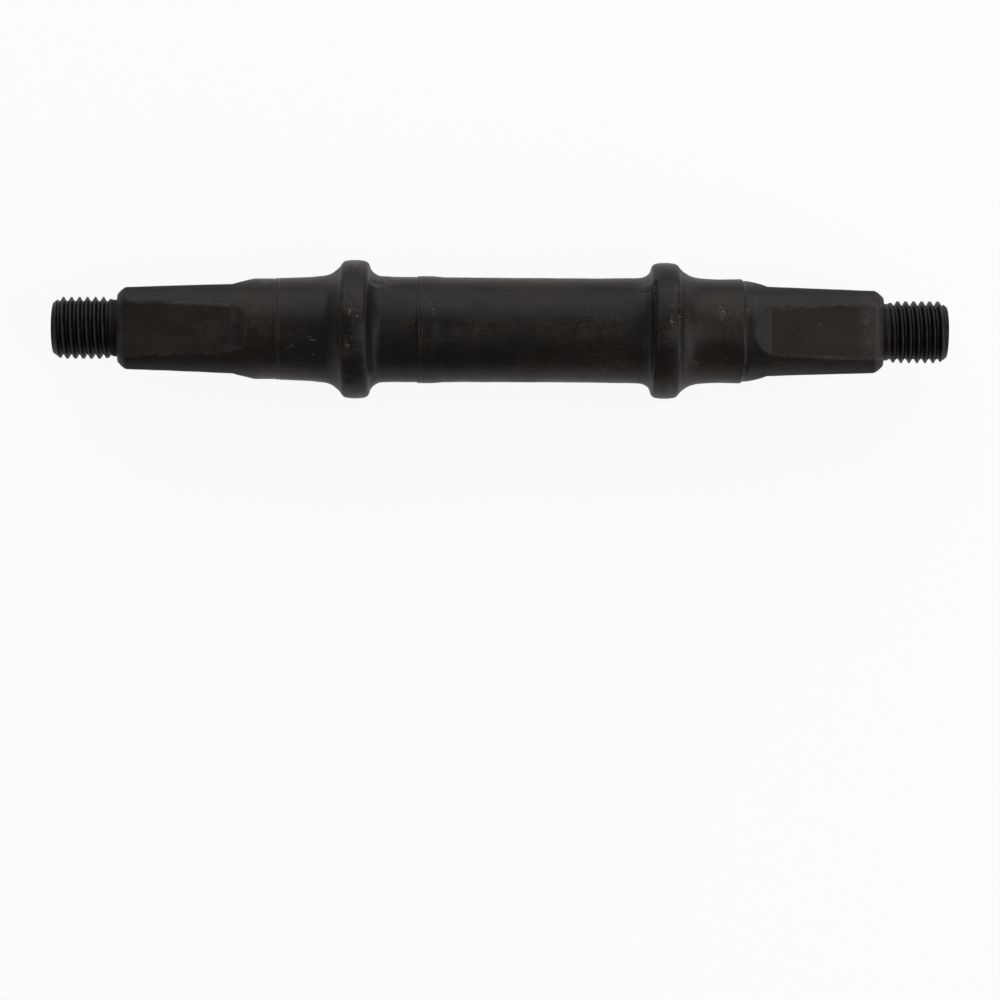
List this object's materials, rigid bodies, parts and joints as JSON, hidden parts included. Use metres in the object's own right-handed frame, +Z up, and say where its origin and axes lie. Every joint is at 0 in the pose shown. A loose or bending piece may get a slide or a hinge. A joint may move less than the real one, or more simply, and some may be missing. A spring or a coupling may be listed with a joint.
{
  "type": "bottom bracket axle",
  "caption": "One-piece steel spindle with bearing race collars, tapered square ends for crank arms and a threaded stud beyond each square.",
  "frame": {"origin": "on the axle's axis, midway between the middles of the two race collars", "axes": "+X along the axis towards the shorter end, +Z up, with two flats of each square facing +Z and -Z"},
  "size_m": [0.1393, 0.0216, 0.0216],
  "materials": {
    "oxide_steel": "black oxide, satin"
  },
  "bodies": {
    "root": {"axle": "oxide_steel"}
  },
  "joints": []
}
